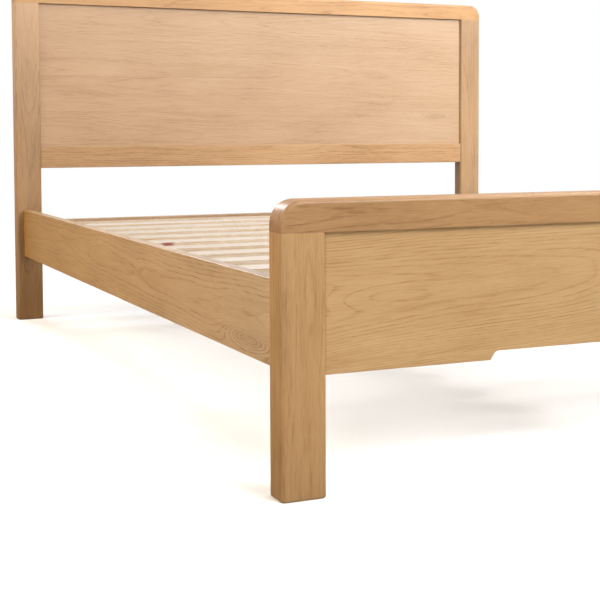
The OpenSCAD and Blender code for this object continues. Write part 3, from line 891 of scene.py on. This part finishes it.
# Painted shade: the left head post is much darker at its foot, below the side rail, and painted light makes
# its side faces paler
HEAD_LEFT_TONES = {"tint": (0.51, 0.45, 0.35), "far_tint": (0.92, 1.1, 1.75), "edge_shading": (1.4, 1.22, 0.92)}
HEAD_RIGHT_TONES = {"tint": (0.77, 0.89, 1.25)}
BOARD_TONES = {"tint": (0.90, 0.88, 0.90), "far_tint": (0.90, 0.94, 1.02)}
BOTTOM_RAIL_TONES = {"tint": (0.91, 0.96, 1.15), "far_tint": (1.05, 1.15, 1.46)}
# Painted light and shade: the side rails darken and warm towards the head, and their tops are painted pale,
# as lit from above
SIDE_RAIL_TONES = {"tint": (1.2, 1.43, 1.92), "far_tint": (1.06, 1.0, 0.6), "edge_shading": (0.95, 1.24, 2.1)}
# Painted shade: the pine's edges, such as the slats' front edges, darker and browner than their tops
PINE_EDGE_SHADE = (1.03, 0.89, 0.70)
SLAT_TONES = {"tint": (0.82, 0.87, 0.97), "edge_shading": PINE_EDGE_SHADE}


def piece_box(piece):
    corners = [piece.matrix_world @ Vector(corner) for corner in piece.bound_box]
    low = Vector([min(corner[axis] for corner in corners) for axis in range(3)])
    high = Vector([max(corner[axis] for corner in corners) for axis in range(3)])
    return low, high


def dress(
    piece,
    species,
    grain,
    seed=0.0,
    pith=(0.0, 0.1),
    tilt=0.0,
    slant=0.0,
    knot=NO_KNOT,
    tint=PLAIN,
    figure=1.0,
    far_tint=None,
    edge_shading=PLAIN,
):
    """Gives a board its wood.

    The pith lies pith[0] across from the board's middle and pith[1] in from the face that the grain's third
    axis starts at. It tilts into the board and slants across it by so much a metre. The tone goes from tint
    to far_tint along the grain, and the last argument is the tone of its edges. These tones are partly the
    board's own colour and partly painted light and shade.
    """
    low, high = piece_box(piece)
    middle = (low + high) / 2
    along, across, deep = ("XYZ".index(letter) for letter in grain)
    centre_across = middle[across] + pith[0] - slant * middle[along]
    centre_deep = low[deep] + pith[1] - tilt * middle[along]
    piece["seed"] = float(seed)
    piece["slant"] = float(slant)
    piece["pith"] = (centre_across, centre_deep, float(tilt))
    piece["knot"] = (knot[0], knot[1] - slant * knot[0], knot[2])
    piece["swell"], piece["heart"] = knot[3:]
    piece["figure"] = float(figure)
    piece["tint"] = (*tint, 1.0)
    piece["far_tint"] = (*(far_tint or tint), 1.0)
    piece["ends"] = (low[along], high[along] - low[along], 0.0)
    piece["edge_shading"] = (*edge_shading, 1.0)
    paint(piece, wood(species, grain), species)


def paint(piece, material, slot_name):
    if not piece.data.materials:
        piece.data.materials.append(material)
    for place in piece.material_slots:
        place.material = material


def plate(piece):
    paint(piece, zinc, "zinc_steel")


SLAT_COUNT = 12
KNOTTED_SLAT = "slat_08"
ARRIS = 1.5 * MM
SEAM_EASE = 0.4 * MM
SLAT_ARRIS = 0.5 * MM
BEYOND = 10 * MM  # how far a board is cut past its shoulders before its tenons are joined on


def make_footboard():
    joined = ("foot_panel", "foot_dowels", "post_inserts", "rail_dowels")
    left, right = (post("foot_post_" + side, *joined) for side in ("left", "right"))
    dress(left, "oak_frame", "ZXY", 1, (0.004, 0.09), 0.008, figure=0.6, **FOOT_POST_TONES)
    dress(right, "oak_frame", "ZXY", 2, (-0.006, 0.08), -0.009, figure=0.6, **FOOT_POST_TONES)
    cap = cap_rail("foot_cap_rail", "foot_panel", "foot_dowels")
    dress(cap, "oak_frame", "XZY", 3, (0.012, 0.11), 0.004, 0.02, **FOOT_CAP_TONES)
    panel, pith = foot_panel(), (0.035, 0.15)
    dress(panel, "oak_panel", "XZY", 4, pith, 0.022, 0.05, PANEL_EYE, figure=0.8, **PANEL_TONES)


def make_headboard():
    post_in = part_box("head_post_left")[1].x
    boards = sorted(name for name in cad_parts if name.startswith("head_board"))
    joined = (*boards, "head_bottom_rail", "head_cross_rail", "head_dowels", "post_inserts", "rail_dowels")
    left, right = (post("head_post_" + side, *joined) for side in ("left", "right"))
    dress(left, "oak_frame", "ZXY", 5, (0.002, 0.1), tilt=-0.02, **HEAD_LEFT_TONES)
    dress(right, "oak_frame", "ZXY", 6, (-0.02, 0.09), tilt=0.006, **HEAD_RIGHT_TONES)
    cap = cap_rail("head_cap_rail", boards[-1], "head_dowels")
    dress(cap, "oak_frame", "XZY", 7, (-0.01, 0.12), tilt=-0.004, edge_shading=CAP_EDGE_SHADE)

    seams = [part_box(name)[0].z for name in boards] + [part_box("head_cap_rail")[0].z]
    offsets, tilts = (-0.02, 0.03, -0.04, 0.01), (0.012, -0.008, 0.01, -0.012)
    for index, name in enumerate(boards):
        low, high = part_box(name)
        high.z = seams[index + 1]
        board = timber(name, SEAM_EASE, low, high, (BEYOND, 0, 0))
        knot = BOARD_KNOT if index == 0 else NO_KNOT
        pith = (offsets[index], 0.12)
        tilt = tilts[index]
        dress(board, "oak_board", "XZY", 10 + index, pith, tilt, knot=knot, figure=0.6, **BOARD_TONES)
    for name, top, tones in (
        ("head_bottom_rail", seams[0], BOTTOM_RAIL_TONES),
        ("head_cross_rail", None, HEAD_RIGHT_TONES),
    ):
        low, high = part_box(name)
        low.x, high.x = post_in, -post_in
        high.z = top or high.z
        rail = timber(name, ARRIS, low, high, (BEYOND, 0, 0))
        dress(rail, "oak_frame", "XZY", 14, (0.03, 0.08), tilt=0.003, **tones)


def make_rails():
    for side, seed, knot, depth in (("left", 20, RAIL_KNOT, 0.14), ("right", 21, NO_KNOT, -0.12)):
        rail = timber("side_rail_" + side, ARRIS, past=(0, BEYOND, 0))
        pith = (0.01, depth)
        dress(rail, "oak_frame", "YZX", seed, pith, 0.004, 0.01, knot, figure=1.1, **SIDE_RAIL_TONES)
        dress(timber("ledger_" + side, ARRIS), "pine", "YZX", seed + 2, (0.03, 0.06), edge_shading=PINE_EDGE_SHADE)
    plate(rail_studs())
    plate(rail_nuts())
    plate(softened("half_moon_washers", 0.6 * MM))
    plate(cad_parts["post_inserts"])
    for name, grain in (("foot_dowels", "ZXY"), ("head_dowels", "ZXY"), ("rail_dowels", "YZX")):
        dress(softened(name, 0.8 * MM), "beech", grain, 30)
    plate(countersunk_screws("ledger_screws", lambda place: (-math.copysign(1, place.x), 0, 0)))


def make_slats():
    for index in range(1, SLAT_COUNT + 1):
        name = f"slat_{index:02d}"
        turned = -1 if index % 3 == 0 else 1
        pith = (0.018 * math.sin(2.4 * index), turned * (0.05 + 0.03 * math.cos(1.7 * index)))
        knot = SLAT_KNOT if name == KNOTTED_SLAT else NO_KNOT
        slat = timber(name, SLAT_ARRIS)
        tilt = 0.006 * math.sin(1.3 * index)
        slant = 0.006 * math.cos(index)
        dress(slat, "pine", "XYZ", 40 + index, pith, tilt, slant, knot, **SLAT_TONES)
    dress(timber("head_cleat", SLAT_ARRIS), "pine", "XYZ", 53, (0.01, 0.05), 0.003, **SLAT_TONES)
    plate(countersunk_screws("slat_screws", lambda place: (0, 0, 1)))
    plate(countersunk_screws("cleat_screws", lambda place: (0, -1, 0)))


def make_centre_support():
    dress(timber("centre_beam", ARRIS), "pine", "YXZ", 60, (0.01, 0.07), 0.004, edge_shading=PINE_EDGE_SHADE)
    dress(timber("centre_leg", ARRIS), "pine", "ZXY", 61, (0.03, 0.05), edge_shading=PINE_EDGE_SHADE)
    for name in ("beam_bracket_foot", "beam_bracket_head"):
        plate(softened(name, 0.4 * MM))
    plate(bracket_screws())
    plate(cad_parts["leg_stud"])
    paint(softened("leg_glide", 0.8 * MM), plastic, "glide_plastic")


make_camera()
make_studio()
make_floor()
zinc = make_zinc()
plastic = make_plastic()
make_footboard()
make_headboard()
make_rails()
make_slats()
make_centre_support()
